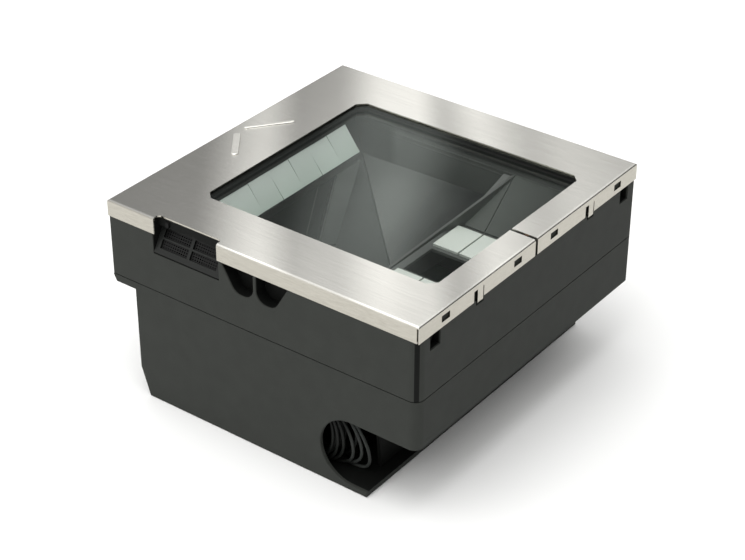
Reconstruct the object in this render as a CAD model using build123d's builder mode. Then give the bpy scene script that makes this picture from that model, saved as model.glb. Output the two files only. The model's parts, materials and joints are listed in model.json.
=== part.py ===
"""In-counter flatbed barcode scanner: steel top cover, glass window, two-part housing, scan engine.

Frame: X runs left to right along the front, Y to the back, Z up.  The origin is the middle of the
underside of the tub.  All lengths are in millimetres.
"""
from build123d import *
import math
import os

os.makedirs("parts", exist_ok=True)

# ---------------------------------------------------------------- driving dimensions
SIDE = 292.0            # square footprint of the top cover
TOP = 169.0             # height of the top cover's plain face
SHEET = 1.2             # steel sheet of the cover
FLANGE = 14.0           # depth of the cover's turned-down flange
GAP = 0.3               # running gap between the cover and what it drops over
HALF = SIDE / 2

WIN = (-91.0, 123.0, -97.0, 100.0)      # window opening: x from, x to, y from, y to
WIN_CUT = 6.5           # cut corners of the window opening
GLASS_LAP = 6.0         # how far the glass reaches past the opening on each side
GLASS_T = 4.0
GASKET_T = 1.5

WALL = 3.0              # housing wall
UPPER_HALF = 145.6      # half width of the housing under the flange
NECK_HALF = 144.4       # half width of the neck that the flange drops over
LEFT_FACE = -145.6
CORNER_R = 8.0          # front right upright corner of the housing
REAR_R = 2.5            # rear right upright corner
LEFT_R = 1.2            # left upright corners
EDGE_R = 0.8            # eased rounded edges of the notches and the bay's mouth
LEFT_DRAFT = 3.0        # how far the left overhang draws in at its lower edge
PART_Z = 103.5          # height of the joint between the two housings
PART_GAP = 0.8          # visible groove at that joint
NECK_Z = TOP - FLANGE - 0.4
RIM_Z = TOP - SHEET - GAP               # top of the housing rim, just under the cover
GLASS_TOP = RIM_Z
GLASS_Z = GLASS_TOP - GLASS_T
SEAT_Z = GLASS_Z - GASKET_T             # seat that the gasket lies on
DECK_Z = SEAT_Z - 2.4                   # underside of the window ledge

TUB_LEFT = -122.8       # left face of the deep tub
TUB_RIGHT = 90.0        # right face of the deep tub
LEDGE_RIGHT = 100.6     # the tub's floor strip runs out past its right wall
LEDGE_LEFT_Z = 97.0     # underside of the left overhang
SHOULDER_Z = 61.0       # underside of the right shoulder
FLOOR_T = 4.0
TUB_CHAMFER = (8.1, 25.0)               # cut along the tub's lower left edge

BAY = (24.0, 87.0, -143.0, -78.0, 76.0)  # cable bay: x from, x to, y from, y to, ceiling height
BAY_CUT = -118.0        # the tub's right wall starts this far back, so the bay is open beside it
SLOT_R = (SHOULDER_Z - FLOOR_T) / 2     # rounded end of the bay's mouth in the front wall
SLOT_X = 57.5 + SLOT_R

GRILLE = (-101.0, -36.0, 137.5)         # speaker recess: x from, x to, lower edge
NOTCH_X = (-99.0, -37.0)                # notch in the cover over the recess
NOTCH_Y = 6.5
FASCIA_Z = 160.5        # lower edge of the lip behind the notch

SPIN = (-45.0, -45.0)   # axis of the scanning motor
CHASSIS_Z = 36.0        # scan chassis underside
CHASSIS_T = 3.0
BOARD_Z = 12.0          # main board underside
BOARD_T = 1.6

CORD_D = 2.6            # interface cable
CORD_EXIT = (50.0, -93.0, 56.0)
COIL_Y = (-138.0, -119.0)


def save(name, part):
    """Label a finished piece and write it as its own file."""
    part.label = name
    export_step(part, f"parts/{name}.step")


def box(x0, x1, y0, y1, z0, z1, mode=Mode.ADD):
    """A block between two corners, in whichever part is being built."""
    with BuildSketch(Plane.XY.offset(z0)) as outline:
        with Locations(((x0 + x1) / 2, (y0 + y1) / 2)):
            Rectangle(x1 - x0, y1 - y0)
    return extrude(outline.sketch, amount=z1 - z0, mode=mode)


def round_box(x0, x1, y0, y1, z0, z1, radius, mode=Mode.ADD):
    """A block with rounded upright corners."""
    with BuildSketch(Plane.XY.offset(z0)) as outline:
        with Locations(((x0 + x1) / 2, (y0 + y1) / 2)):
            RectangleRounded(x1 - x0, y1 - y0, radius)
    return extrude(outline.sketch, amount=z1 - z0, mode=mode)


def window_block(grow, z0, z1, mode=Mode.ADD):
    """A block with the window's outline, cut corners included, grown by a margin."""
    x0, x1, y0, y1 = WIN[0] - grow, WIN[1] + grow, WIN[2] - grow, WIN[3] + grow
    with BuildSketch(Plane.XY.offset(z0)) as outline:
        with Locations(((x0 + x1) / 2, (y0 + y1) / 2)):
            Rectangle(x1 - x0, y1 - y0)
        chamfer(outline.vertices(), WIN_CUT)
    return extrude(outline.sketch, amount=z1 - z0, mode=mode)


def rod(x, y, z0, z1, radius, mode=Mode.ADD):
    """An upright cylinder."""
    with BuildSketch(Plane.XY.offset(z0)) as outline:
        with Locations((x, y)):
            Circle(radius)
    return extrude(outline.sketch, amount=z1 - z0, mode=mode)


def rod_y(x, z, y0, y1, radius, mode=Mode.ADD):
    """A cylinder lying along Y."""
    plane = Plane(origin=(x, y0, z), x_dir=(1, 0, 0), z_dir=(0, 1, 0))
    with BuildSketch(plane) as outline:
        Circle(radius)
    return extrude(outline.sketch, amount=y1 - y0, mode=mode)


def front_profile(points, y0, y1, mode=Mode.ADD):
    """A closed outline drawn in the XZ plane and carried along Y."""
    plane = Plane(origin=(0, y0, 0), x_dir=(1, 0, 0), z_dir=(0, -1, 0))
    with BuildSketch(plane) as outline:
        Polygon(*points, align=None)
    return extrude(outline.sketch, amount=-(y1 - y0), mode=mode)


def side_profile(points, x0, x1, mode=Mode.ADD):
    """A closed outline drawn in the YZ plane and carried along X."""
    plane = Plane(origin=(x0, 0, 0), x_dir=(0, 1, 0), z_dir=(1, 0, 0))
    with BuildSketch(plane) as outline:
        Polygon(*points, align=None)
    return extrude(outline.sketch, amount=x1 - x0, mode=mode)


def facet(corners, front, back, mode=Mode.ADD):
    """A flat plate through 3-D corners, from `front` above their plane down to `back` below it."""
    a, b, c = (Vector(*p) for p in corners[:3])
    plane = Plane(origin=a, x_dir=b - a, z_dir=(b - a).cross(c - b))
    if plane.z_dir.Z < 0:
        plane = Plane(origin=a, x_dir=b - a, z_dir=-plane.z_dir)
    flat = [plane.to_local_coords(Vector(*p)) for p in corners]
    with BuildSketch(plane.offset(-back)) as outline:
        Polygon(*[(p.X, p.Y) for p in flat], align=None)
    return extrude(outline.sketch, amount=front + back, mode=mode)


def between(a, b, share):
    """The point that lies a share of the way from a to b."""
    return tuple(p + (q - p) * share for p, q in zip(a, b))


# ---------------------------------------------------------------- top cover
SPLIT_Y = 1.8           # middle of the break in the cover's right rim
SPLIT_W = 3.0
SLOT_YS = (-114.0, -23.0, 26.0, 117.0)  # small slots along the side flanges
SLOT_HALF = 5.0         # half length of those slots
BEND_R = 1.9            # outside of the folded edges
TAB_YS = (-73.0, 76.5)  # clip notches in the right flange
TAB_W = 12.5
RIB_H = 0.9             # height of the raised ribs on the left rim
RIBS = (((-125, -20), 36, 6.0, 127), ((-125, 22), 42, 3.6, 52))   # middle, length, width, turn
SEAM = 0.7              # open seam at the right upright corners of the flange

with BuildPart() as top_cover:
    box(-HALF, HALF, -HALF, HALF, TOP - FLANGE, TOP)
    fillet(top_cover.edges().filter_by(GeomType.LINE).group_by(Axis.Z)[-1], BEND_R)
    inner = HALF - SHEET
    box(-inner, inner, -inner, inner, TOP - FLANGE, TOP - SHEET, mode=Mode.SUBTRACT)
    window_block(0, TOP - SHEET, TOP, mode=Mode.SUBTRACT)
    for side in (-1, 1):
        x, y = HALF - SHEET, side * (HALF - SHEET / 2)
        box(x - SEAM, x + SEAM, y - SHEET, y + SHEET, TOP - FLANGE, TOP - 1.6, mode=Mode.SUBTRACT)
    round_box(NOTCH_X[0], NOTCH_X[1], -HALF - 20, -HALF + NOTCH_Y, TOP - FLANGE, TOP, 3, mode=Mode.SUBTRACT)
    box(WIN[1] - 1, HALF + 1, SPLIT_Y - SPLIT_W / 2, SPLIT_Y + SPLIT_W / 2,
        TOP - FLANGE, TOP, mode=Mode.SUBTRACT)
    for side in (-1, 1):
        x0, x1 = sorted((side * (HALF - 2 * SHEET), side * (HALF + 1)))
        for y in SLOT_YS:
            box(x0, x1, y - SLOT_HALF, y + SLOT_HALF, TOP - 10.0, TOP - 4.6, mode=Mode.SUBTRACT)
    for y in TAB_YS:
        box(HALF - 2 * SHEET, HALF + 1, y - TAB_W / 2, y + TAB_W / 2, TOP - FLANGE, TOP - 5, mode=Mode.SUBTRACT)
        tongue = [(HALF - SHEET, TOP - 2), (HALF, TOP - 2), (HALF, TOP - 16), (HALF - 0.4, TOP - 16.7),
                  (HALF - SHEET, TOP - 16.7)]
        front_profile(tongue, y - 1.6, y + TAB_W / 2 - 1)
    with BuildSketch(Plane.XY.offset(TOP - 0.2)):
        for site, length, width, turn in RIBS:
            with Locations(site):
                SlotOverall(length, width, rotation=turn)
    extrude(amount=RIB_H + 0.2)
    fillet(top_cover.edges().group_by(Axis.Z)[-1], RIB_H - 0.2)
save("top_cover", top_cover.part)

# ---------------------------------------------------------------- window glass and gasket
with BuildPart() as window_glass:
    window_block(GLASS_LAP, GLASS_Z, GLASS_TOP)
save("window_glass", window_glass.part)

with BuildPart() as window_gasket:
    window_block(GLASS_LAP, SEAT_Z, GLASS_Z)
    window_block(0, SEAT_Z, GLASS_Z, mode=Mode.SUBTRACT)
save("window_gasket", window_gasket.part)

# ---------------------------------------------------------------- upper housing
UPPER_Z = PART_Z + PART_GAP / 2
SEAT_GROW = GLASS_LAP + GAP
GRIP_XS = (-33.5, -3.4, -0.6, 29.5)     # finger notches: outer, inner, inner, outer edge at the top
GRIP_Z = 132.5          # bottom of the finger notches
GRIP_R = 9.5            # rounding of their bottom corners
GRIP_DEPTH = 11.0
HOOK_YS = ((-132.0, -119.5), (123.0, 135.0))    # recesses under the right flange
EAS_R = 4.4             # width of the loop groove around the window
EAS_GROW = 10.2
BOSS_SITES = ((-133.0, -110.0), (-133.0, 110.0), (119.0, -110.0), (119.0, 110.0))
SPEAKER = (-68.5, 148.5)                # middle of the speaker: x, z
SPEAKER_Y = -127.0
BUTTON = (-90.0, 163.4)                 # volume button: x, z

with BuildPart() as upper_housing:
    box(LEFT_FACE, UPPER_HALF, -UPPER_HALF, UPPER_HALF, UPPER_Z, NECK_Z)
    uprights = upper_housing.edges().filter_by(Axis.Z).group_by(Axis.X)
    fillet(uprights[0], LEFT_R)
    rear, front = sorted(uprights[-1], key=lambda edge: -edge.center().Y)
    fillet(front, CORNER_R)
    fillet(rear, REAR_R)
    round_box(-NECK_HALF, NECK_HALF, -NECK_HALF, NECK_HALF, NECK_Z - 1, RIM_Z, 3)
    reach = NECK_HALF - WALL
    round_box(-reach, reach, -reach, reach, UPPER_Z, RIM_Z - 4, CORNER_R - WALL, mode=Mode.SUBTRACT)
    window_block(SEAT_GROW + WALL, DECK_Z, RIM_Z - 4)
    # speaker pocket, finger-notch pocket and hook pockets, as thick blocks behind the wall
    box(GRILLE[0] - WALL, GRILLE[1] + WALL, -reach - 1, SPEAKER_Y, GRILLE[2] - WALL, RIM_Z - 4)
    box(GRIP_XS[0] - 2, GRIP_XS[3] + WALL, -reach - 1, -UPPER_HALF + GRIP_DEPTH + WALL,
        GRIP_Z - WALL, RIM_Z - 4)
    for y0, y1 in HOOK_YS:
        box(reach - 5, reach + 1, y0 - 2.5, y1 + 2.5, 139, RIM_Z - 4)
    window_block(SEAT_GROW, SEAT_Z, RIM_Z, mode=Mode.SUBTRACT)
    window_block(0, DECK_Z, SEAT_Z, mode=Mode.SUBTRACT)
    # groove for the loop around the window
    window_block(EAS_GROW + EAS_R, RIM_Z - 2.7, RIM_Z, mode=Mode.SUBTRACT)
    window_block(EAS_GROW, RIM_Z - 2.7, RIM_Z)
    window_block(SEAT_GROW, SEAT_Z, RIM_Z, mode=Mode.SUBTRACT)
    # speaker recess: open at the front, a sloped seat for the grille and a round sound hole
    side_profile([(-HALF, GRILLE[2]), (-144.2, GRILLE[2]), (-130.4, 159.2), (-130.4, FASCIA_Z),
                  (-HALF, FASCIA_Z)], GRILLE[0], GRILLE[1], mode=Mode.SUBTRACT)
    box(GRILLE[0], GRILLE[1], -HALF, -HALF + NOTCH_Y, FASCIA_Z - 1, TOP, mode=Mode.SUBTRACT)
    rod_y(SPEAKER[0], SPEAKER[1], -142, SPEAKER_Y, 14, mode=Mode.SUBTRACT)
    # button hole through the lip
    box(BUTTON[0] - 1.9, BUTTON[0] + 1.9, -HALF, -136.5, BUTTON[1] - 2.4, BUTTON[1] + 2.4,
        mode=Mode.SUBTRACT)
    box(BUTTON[0] - 6, BUTTON[0] + 6, -137.2, -133, FASCIA_Z, RIM_Z - 0.9, mode=Mode.SUBTRACT)
    # finger notches: straight inner edges, slanted outer edges, rounded bottoms
    for outer, inner, lean in ((GRIP_XS[0], GRIP_XS[1], 1), (GRIP_XS[3], GRIP_XS[2], -1)):
        plane = Plane(origin=(0, -HALF, 0), x_dir=(1, 0, 0), z_dir=(0, -1, 0))
        with BuildSketch(plane) as grip:
            Polygon((outer, 163), (inner, 163), (inner, GRIP_Z), (outer + lean * 13, GRIP_Z),
                    (outer, NECK_Z), align=None)
            fillet(grip.vertices().group_by(Axis.Y)[0], GRIP_R)
        extrude(amount=-GRIP_DEPTH, mode=Mode.SUBTRACT)
    arcs = upper_housing.edges().filter_by(GeomType.CIRCLE)
    arcs = arcs.filter_by_position(Axis.Y, -UPPER_HALF - 0.1, -UPPER_HALF + 0.1)
    fillet(arcs.filter_by_position(Axis.Z, GRIP_Z - 1, GRIP_Z + GRIP_R + 1), EDGE_R)
    for y0, y1 in HOOK_YS:
        box(reach - 2.5, HALF, y0, y1, 142, 162, mode=Mode.SUBTRACT)
    # relief behind the cover's clip tongues
    for y in TAB_YS:
        box(NECK_HALF - 0.6, HALF, y - 2.8, y + TAB_W / 2 + 0.4, TOP - 18.5, TOP - 8, mode=Mode.SUBTRACT)
    # rebate that the lower housing's lip fits, and the screw bosses
    for x, y in BOSS_SITES:
        rod(x, y, UPPER_Z + 1.6, 128, 4.6)
        box(*sorted((x, math.copysign(reach + 1, x))), y - 2, y + 2, UPPER_Z + 1.6, 128)
    for x, y in BOSS_SITES:
        rod(x, y, UPPER_Z, 122, 1.7, mode=Mode.SUBTRACT)
save("upper_housing", upper_housing.part)

# ---------------------------------------------------------------- lower housing
LOWER_Z = PART_Z - PART_GAP / 2
JACK_XS = (50.0, 73.0)                  # upper row of sockets in the bay's back wall
JACK_Z = 56.0
POWER = (73.0, 26.0)

with BuildPart() as lower_housing:
    foot = TUB_LEFT + TUB_CHAMFER[0]
    outline = [(foot, 0), (LEDGE_RIGHT, 0), (LEDGE_RIGHT, FLOOR_T), (TUB_RIGHT, FLOOR_T),
               (TUB_RIGHT, SHOULDER_Z), (UPPER_HALF, SHOULDER_Z), (UPPER_HALF, LOWER_Z),
               (LEFT_FACE, LOWER_Z), (LEFT_FACE + LEFT_DRAFT, LEDGE_LEFT_Z), (TUB_LEFT, LEDGE_LEFT_Z),
               (TUB_LEFT, TUB_CHAMFER[1])]
    front_profile(outline, -UPPER_HALF, UPPER_HALF)
    box(TUB_RIGHT - 1, LEDGE_RIGHT - 0.6, -UPPER_HALF, -UPPER_HALF + WALL, 0, SHOULDER_Z + 1)
    corners = lower_housing.edges().filter_by(Axis.Z).filter_by_position(Axis.Z, SHOULDER_Z - 5, LOWER_Z)
    corners = [e for e in corners if e.center().X > 140]
    fillet([e for e in corners if e.center().Y < 0], CORNER_R)
    fillet([e for e in corners if e.center().Y > 0], REAR_R)
    # hollow: deep tub, left overhang and right shoulder
    y0, y1 = -UPPER_HALF + WALL, UPPER_HALF - WALL
    front_profile([(TUB_LEFT + WALL, TUB_CHAMFER[1] + 1), (foot + WALL, FLOOR_T),
                   (TUB_RIGHT - WALL, FLOOR_T), (TUB_RIGHT - WALL, LOWER_Z), (TUB_LEFT + WALL, LOWER_Z)],
                  y0, y1, mode=Mode.SUBTRACT)
    round_box(LEFT_FACE + WALL, TUB_LEFT + 20, y0, y1, LEDGE_LEFT_Z + WALL, LOWER_Z, 5, mode=Mode.SUBTRACT)
    round_box(TUB_RIGHT - 20, UPPER_HALF - WALL, y0, y1, SHOULDER_Z + WALL, LOWER_Z, 5, mode=Mode.SUBTRACT)
    # cable bay: walls and ceiling inside the tub
    box(BAY[0] - WALL, BAY[1] + 1, BAY[2] - 1, BAY[3] + WALL, FLOOR_T - 1, BAY[4] + WALL)
    box(BAY[0], BAY[1], BAY[2] + 0.4, BAY[3], FLOOR_T, BAY[4], mode=Mode.SUBTRACT)
    box(BAY[1], BAY[1] + WALL + 1, BAY[2] + 0.4, BAY_CUT, FLOOR_T, SHOULDER_Z, mode=Mode.SUBTRACT)
    plane = Plane(origin=(0, -HALF, 0), x_dir=(1, 0, 0), z_dir=(0, -1, 0))
    with BuildSketch(plane):
        with Locations((SLOT_X, FLOOR_T + SLOT_R)):
            Circle(SLOT_R)
        Polygon((SLOT_X, FLOOR_T), (LEDGE_RIGHT + 1, FLOOR_T), (LEDGE_RIGHT + 1, SHOULDER_Z),
                (SLOT_X, SHOULDER_Z), align=None)
    extrude(amount=-(WALL + 1), mode=Mode.SUBTRACT)
    arch = lower_housing.edges().filter_by(GeomType.CIRCLE)
    fillet(arch.filter_by_position(Axis.Y, -UPPER_HALF - 0.1, -UPPER_HALF + 0.1), EDGE_R)
    # slanted front end of the right wall
    side_profile([(BAY_CUT - 1, FLOOR_T), (BAY_CUT - 1, SHOULDER_Z), (BAY_CUT, SHOULDER_Z),
                  (BAY_CUT + 5, FLOOR_T)], BAY[1] - 0.5, BAY[1] + WALL + 1, mode=Mode.SUBTRACT)
    # socket openings in the bay's back wall
    for x in JACK_XS:
        box(x - 6.2, x + 6.2, BAY[3] - 1, BAY[3] + WALL + 1, JACK_Z - 5.2, JACK_Z + 5.2, mode=Mode.SUBTRACT)
    rod_y(POWER[0], POWER[1], BAY[3] - 1, BAY[3] + WALL + 1, 4.2, mode=Mode.SUBTRACT)
    # lip at the top joint
    lip = round_box(LEFT_FACE + 1.2, UPPER_HALF - 1.2, -UPPER_HALF + 1.2, UPPER_HALF - 1.2,
                    LOWER_Z, UPPER_Z, CORNER_R - 1.2, mode=Mode.PRIVATE)
    hole = round_box(LEFT_FACE + WALL, UPPER_HALF - WALL, -UPPER_HALF + WALL, UPPER_HALF - WALL,
                     LOWER_Z - 1, UPPER_Z + 1, CORNER_R - WALL, mode=Mode.PRIVATE)
    add(lip - hole)
    # screw towers
    for x, y in BOSS_SITES:
        z = LEDGE_LEFT_Z if x < 0 else SHOULDER_Z
        rod(x, y, z + 1, UPPER_Z + 1.6, 5.2)
        if x > 0:
            box(x, UPPER_HALF - 1, y - 1.5, y + 1.5, z + 1, LOWER_Z)
    for x, y in BOSS_SITES:
        z = LEDGE_LEFT_Z if x < 0 else SHOULDER_Z
        rod(x, y, z - 1, UPPER_Z + 2, 2.2, mode=Mode.SUBTRACT)
        rod(x, y, z - 1, UPPER_Z - 4, 4.0, mode=Mode.SUBTRACT)
    # posts for the scan chassis and standoffs for the main board
    for x, y in ((-108, -132), (10, -132), (-108, 8), (10, 8)):
        rod(x, y, FLOOR_T - 1, CHASSIS_Z, 4)
    for x, y in ((-106, 28), (54, 28), (-106, 130), (54, 130)):
        rod(x, y, FLOOR_T - 1, BOARD_Z, 3.5)
    for x, y in ((-108, -132), (10, -132), (-108, 8), (10, 8)):
        rod(x, y, CHASSIS_Z - 9, CHASSIS_Z, 1.3, mode=Mode.SUBTRACT)
    for x, y in ((-106, 28), (54, 28), (-106, 130), (54, 130)):
        rod(x, y, FLOOR_T, BOARD_Z, 1.3, mode=Mode.SUBTRACT)
save("lower_housing", lower_housing.part)

# ---------------------------------------------------------------- speaker, grille and volume button
GRILLE_LOW = (-144.2, GRILLE[2])        # front edge of the sloped seat: y, z
GRILLE_HIGH = (-130.4, 159.2)
SLOPE = math.hypot(GRILLE_HIGH[0] - GRILLE_LOW[0], GRILLE_HIGH[1] - GRILLE_LOW[1])
PANEL_W = GRILLE[1] - GRILLE[0] - 0.8
MESH_T = 0.6            # perforated sheet left at the bottom of the four fields

with BuildPart() as speaker_grille:
    middle = ((GRILLE[0] + GRILLE[1]) / 2, (GRILLE_LOW[0] + GRILLE_HIGH[0]) / 2,
              (GRILLE_LOW[1] + GRILLE_HIGH[1]) / 2)
    up = (0, GRILLE_HIGH[0] - GRILLE_LOW[0], GRILLE_HIGH[1] - GRILLE_LOW[1])
    seat = Plane(origin=middle, x_dir=(1, 0, 0), z_dir=Vector(1, 0, 0).cross(Vector(*up)))
    with BuildSketch(seat):
        Rectangle(PANEL_W, SLOPE - 0.8)
    extrude(amount=2)
    with BuildSketch(seat.offset(MESH_T)):
        with GridLocations(29, 8.6, 2, 2):
            RectangleRounded(26.5, 7.2, 0.6)
    extrude(amount=2, mode=Mode.SUBTRACT)
    with BuildSketch(seat):
        with GridLocations(29, 8.6, 2, 2):
            with GridLocations(2.2, 2.1, 11, 3):
                Circle(0.6)
    extrude(amount=MESH_T, mode=Mode.SUBTRACT)
save("speaker_grille", speaker_grille.part)

with BuildPart() as speaker:
    rod_y(SPEAKER[0], SPEAKER[1], SPEAKER_Y, SPEAKER_Y + 3, 11)
    rod_y(SPEAKER[0], SPEAKER[1], SPEAKER_Y + 2, SPEAKER_Y + 6, 9)
    rod_y(SPEAKER[0], SPEAKER[1], SPEAKER_Y + 6, SPEAKER_Y + 12, 6.5)
save("speaker", speaker.part)

BUTTON_TRAVEL = 0.8
with BuildPart() as volume_button:
    bx, bz = BUTTON
    box(bx - 1.6, bx + 1.6, -141, -136, bz - 2.1, bz + 2.1)
    fillet(volume_button.edges().filter_by(Axis.Y), 0.5)
    box(bx - 3, bx + 3, -136.9, -135.9, bz - 2.4, bz + 2.4)
save("volume_button", volume_button.part)

with BuildPart() as volume_switch:
    box(bx - 2.8, bx + 2.8, -135.0, -133.0, bz - 2.4, bz + 2.4)
save("volume_switch", volume_switch.part)

# ---------------------------------------------------------------- loop around the window
with BuildPart() as eas_antenna:
    window_block(EAS_GROW + EAS_R - 0.5, RIM_Z - 2.7, RIM_Z - 0.3)
    window_block(EAS_GROW + 0.5, RIM_Z - 2.7, RIM_Z - 0.3, mode=Mode.SUBTRACT)
save("eas_antenna", eas_antenna.part)

# ---------------------------------------------------------------- mirrors and their moulded frame
MIRROR_T = 2.0
FRAME_T = 2.5
STRIP_TOP = (-91.0, 156.7)              # left mirror row: x, z of its upper and lower edges
STRIP_LOW = (-75.0, 136.0)
STRIP_Y = (-96.0, 78.6)
STRIP_N = 7
STRIP_TILT = 1.3
STRIP_GAP = 0.35
FOLD_X, FOLD_Z = -80.0, 124.0           # fold under the left mirror row
BACK_Y = 101.5
# corners of the tilted mirrors, left to right
RIDGE = ((-79.6, 84.9, 124.0), (-80.4, 54.1, 124.0), (-73.3, 22.1, 78.0), (-70.8, 38.5, 66.2))
CORNER = (-90.2, BACK_Y, 119.9)
CREASE_END = (0.5, 18.5, 84.0)
SIDE_LOW = (-70.8, 38.5, 66.2)
MAIN_RIGHT = (35.2, BACK_Y, 121.8)
MAIN_LOW = (5.7, 27.4, 88.1)
REAR_Z = (150.3, 118.0)                 # rear right mirrors: height of their back and front edges
REAR_Y = 58.0
SHELF_Z = 117.0
PADS = ((41.5, 64.8, 18.5, 53.0), (66.3, 89.6, 18.5, 53.0), (41.0, 64.3, -62.0, -27.0),
        (65.8, 89.1, -62.0, -27.0))
DIVIDER_TOP = ((60.9, BACK_Y + 1.5, 151.0), (7.8, -17.0, 91.0))
DIVIDER_T = 2.5


def strip_plane(i):
    """Plane of one mirror in the left row; neighbours lean a little differently."""
    slope = (STRIP_LOW[0] - STRIP_TOP[0], 0, STRIP_LOW[1] - STRIP_TOP[1])
    step = (STRIP_Y[1] - STRIP_Y[0]) / STRIP_N
    middle = ((STRIP_TOP[0] + STRIP_LOW[0]) / 2, STRIP_Y[0] + step * (i + 0.5),
              (STRIP_TOP[1] + STRIP_LOW[1]) / 2)
    flat = Plane(origin=middle, x_dir=(0, 1, 0), z_dir=Vector(0, 1, 0).cross(Vector(*slope)))
    if flat.z_dir.Z < 0:
        flat = Plane(origin=middle, x_dir=(0, 1, 0), z_dir=-flat.z_dir)
    return flat.rotated((0, -STRIP_TILT if i % 2 else STRIP_TILT, 0)).offset(-0.6)


with BuildPart() as pattern_mirrors:
    for i in range(STRIP_N):
        with BuildSketch(strip_plane(i)):
            Rectangle((STRIP_Y[1] - STRIP_Y[0]) / STRIP_N - STRIP_GAP, 25.6)
        extrude(amount=-MIRROR_T)
save("pattern_mirrors", pattern_mirrors.part)

main_corners = (CORNER, MAIN_RIGHT, between(MAIN_RIGHT, MAIN_LOW, 1.12), between(CORNER, CREASE_END, 1.12))
side_corners = (between(CORNER, SIDE_LOW, 0.05), between(CORNER, SIDE_LOW, 1.1),
                between(between(CORNER, CREASE_END, 1.1), SIDE_LOW, 0.03))
ridge_corners = (RIDGE[0], RIDGE[1], between(RIDGE[1], RIDGE[2], 1.08), between(RIDGE[0], RIDGE[3], 0.98))
rear_left = ((60.5, BACK_Y, REAR_Z[0]), (61.5, BACK_Y, REAR_Z[0]), (63.0, REAR_Y, REAR_Z[1]),
             (43.5, REAR_Y, REAR_Z[1]))
rear_right = ((62.1, BACK_Y, REAR_Z[0]), (124.3, BACK_Y, REAR_Z[0]), (124.3, REAR_Y, REAR_Z[1]),
              (63.6, REAR_Y, REAR_Z[1]))

with BuildPart() as main_mirror:
    facet(main_corners, 0, MIRROR_T)
save("main_mirror", main_mirror.part)

with BuildPart() as side_mirror:
    facet(side_corners, 0, MIRROR_T)
save("side_mirror", side_mirror.part)

with BuildPart() as ridge_mirror:
    facet(ridge_corners, 0, MIRROR_T)
save("ridge_mirror", ridge_mirror.part)

with BuildPart() as rear_mirrors:
    facet(rear_left, 0, MIRROR_T)
    facet(rear_right, 0, MIRROR_T)
save("rear_mirrors", rear_mirrors.part)

with BuildPart() as shelf_mirrors:
    for x0, x1, y0, y1 in PADS:
        box(x0, x1, y0, y1, SHELF_Z, SHELF_Z + MIRROR_T)
save("shelf_mirrors", shelf_mirrors.part)

with BuildPart() as optics_frame:
    # top flange under the window ledge
    box(-104, 132, -106, 109, DECK_Z - FRAME_T, DECK_Z)
    window_block(0, DECK_Z - FRAME_T, DECK_Z, mode=Mode.SUBTRACT)
    top = DECK_Z - FRAME_T + 0.5
    # back wall with its faint baffle steps, right wall and front wall
    box(-104, 127, BACK_Y, BACK_Y + FRAME_T, 84, top)
    for i, z in enumerate((154.3, 149.3, 145.2)):
        box(-88, 124.5, BACK_Y - 0.9 + 0.25 * i, BACK_Y + 0.5, z, z + 0.9)
    box(124.5, 127, -103, BACK_Y + FRAME_T, 92, top)
    box(-104, 127, -103, -100.5, 92, top)
    # left wall: backing of the mirror row, fold, and the wall below it
    side = [(-104, top), (-92.4, top), (-92.4, 154.4), (-76.6, 133.6), (-80, 124), (-83.6, 124), (-83.6, 60),
            (-86.2, 60), (-86.2, 121), (-104, 150)]
    front_profile(side, -101, 80)
    corner = [(-104, top), (-100.6, top), (-90.2, 119.9), (-83.6, 84), (-86.4, 84), (-93, 119), (-104, 154)]
    front_profile(corner, 79, BACK_Y + 1)
    # backing panels of the tilted mirrors
    facet(main_corners, -MIRROR_T, MIRROR_T + FRAME_T)
    facet(side_corners, -MIRROR_T, MIRROR_T + FRAME_T)
    facet(ridge_corners, -MIRROR_T, MIRROR_T + FRAME_T)
    facet(((52, BACK_Y + 1, REAR_Z[0] + 0.7), (126, BACK_Y + 1, REAR_Z[0] + 0.7),
           (126, REAR_Y, REAR_Z[1]), (38, REAR_Y, REAR_Z[1])), -MIRROR_T, MIRROR_T + FRAME_T)
    # divider beside the main mirror, its top edge falling towards the front
    (ax, ay, az), (bx, by, bz) = DIVIDER_TOP
    a, b = Vector(ax, ay, az), Vector(bx, by, bz)
    facet((a, b, Vector(bx, by, 70), Vector(ax, ay, 112)), DIVIDER_T, 0)
    # shelf of the right compartment, with an open well between its two mirror rows
    box(36, 126, -102, 62, SHELF_Z - FRAME_T, SHELF_Z)
    box(43, 118, -23, 14.5, SHELF_Z - 4, SHELF_Z + 1, mode=Mode.SUBTRACT)
    # each mirror sits in a pocket of its own
    for mirror in (main_mirror, side_mirror, ridge_mirror, rear_mirrors, pattern_mirrors):
        add(mirror.part, mode=Mode.SUBTRACT)
save("optics_frame", optics_frame.part)

# ---------------------------------------------------------------- scan chassis and scanning motor
CHASSIS = (-112.0, 16.0, -137.0, 13.0)
POSTS = ((-108.0, -132.0), (10.0, -132.0), (-108.0, 8.0), (10.0, 8.0))
DECK = CHASSIS_Z + CHASSIS_T
SHAFT_R = 2.0
SHAFT_PLAY = 0.03
MOTOR_EARS = 3
EAR_R = 21.5            # screw circle of the motor base

with BuildPart() as scan_chassis:
    round_box(*CHASSIS, CHASSIS_Z, DECK, 6)
    box(-96, 0, CHASSIS[2], CHASSIS[2] + 2.5, DECK - 1, DECK + 6)
    for x, y in POSTS:
        rod(x, y, CHASSIS_Z - 1, DECK + 1, 1.7, mode=Mode.SUBTRACT)
    with BuildSketch(Plane.XY.offset(DECK)):
        with Locations(SPIN):
            with PolarLocations(EAR_R, MOTOR_EARS):
                Circle(1.3)
    extrude(amount=-CHASSIS_T, mode=Mode.SUBTRACT)
save("scan_chassis", scan_chassis.part)

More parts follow.
